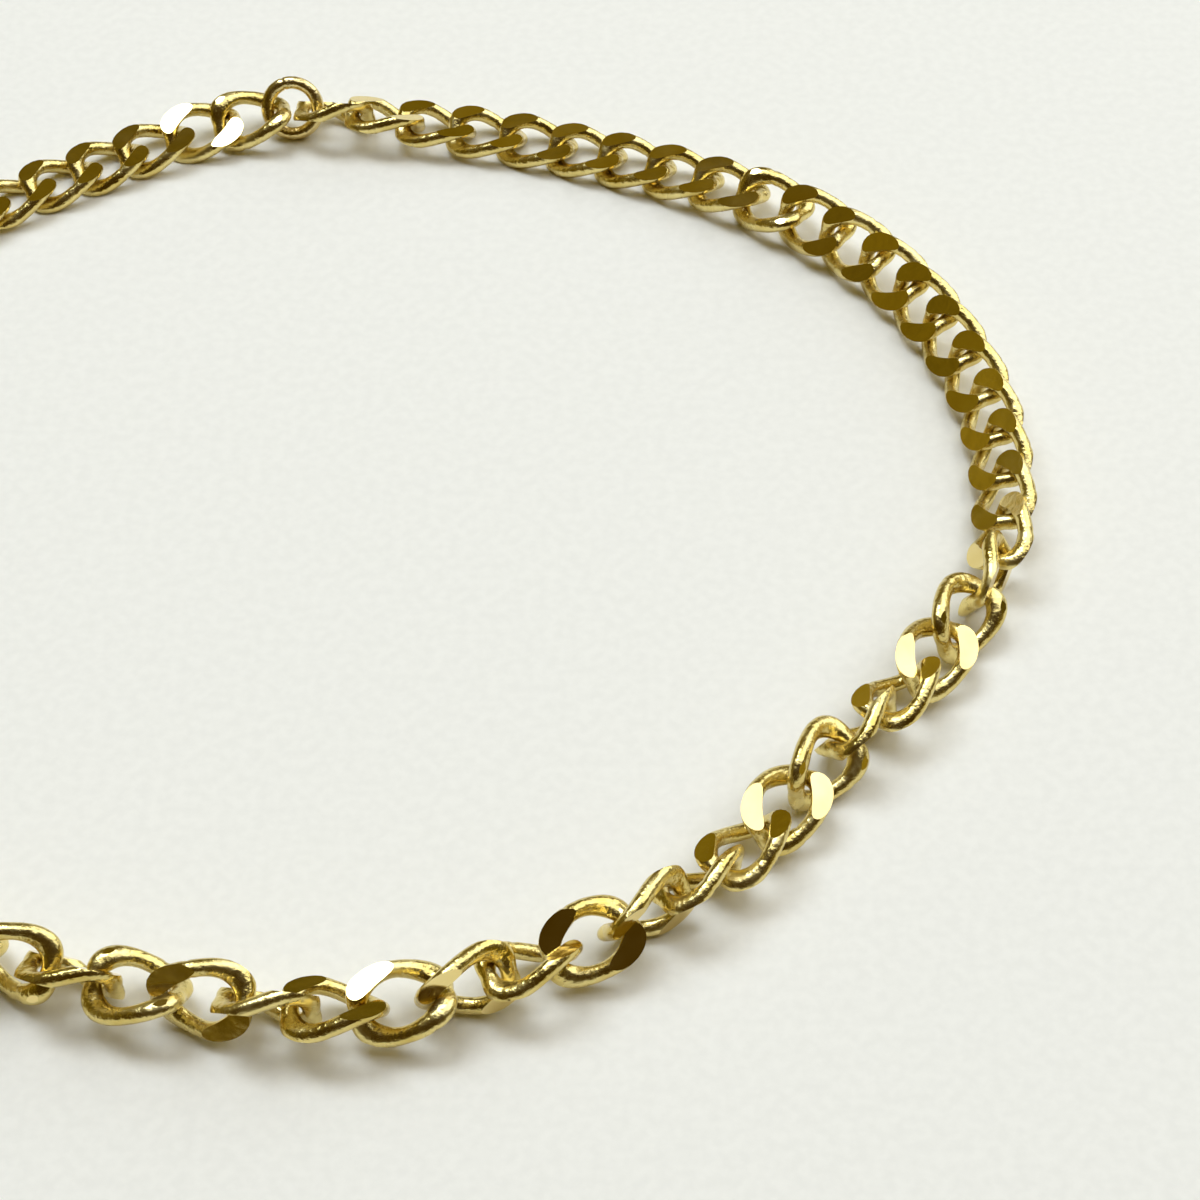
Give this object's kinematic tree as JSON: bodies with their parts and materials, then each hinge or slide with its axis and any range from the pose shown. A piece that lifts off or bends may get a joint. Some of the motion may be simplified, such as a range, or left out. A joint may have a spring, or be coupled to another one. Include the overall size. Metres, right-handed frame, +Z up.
{
  "type": "chain ring",
  "caption": "Fine chain finger ring: a loose curb chain with diamond-cut flats, lying as an uneven loop and closed by one round jump ring.",
  "frame": {"origin": "on the surface that the ring lies on, under the middle of the loop's box", "axes": "+Z up, along the finger hole; +X to the right and +Y to the far side of the loop, where the jump ring is"},
  "size_m": [0.0192, 0.0173, 0.001],
  "materials": {
    "diamond_cut_gold": "polished yellow gold wire with bright flat cuts",
    "polished_gold": "polished yellow gold wire"
  },
  "bodies": {
    "root": {"chain": "diamond_cut_gold", "jump_ring": "polished_gold"}
  },
  "joints": []
}
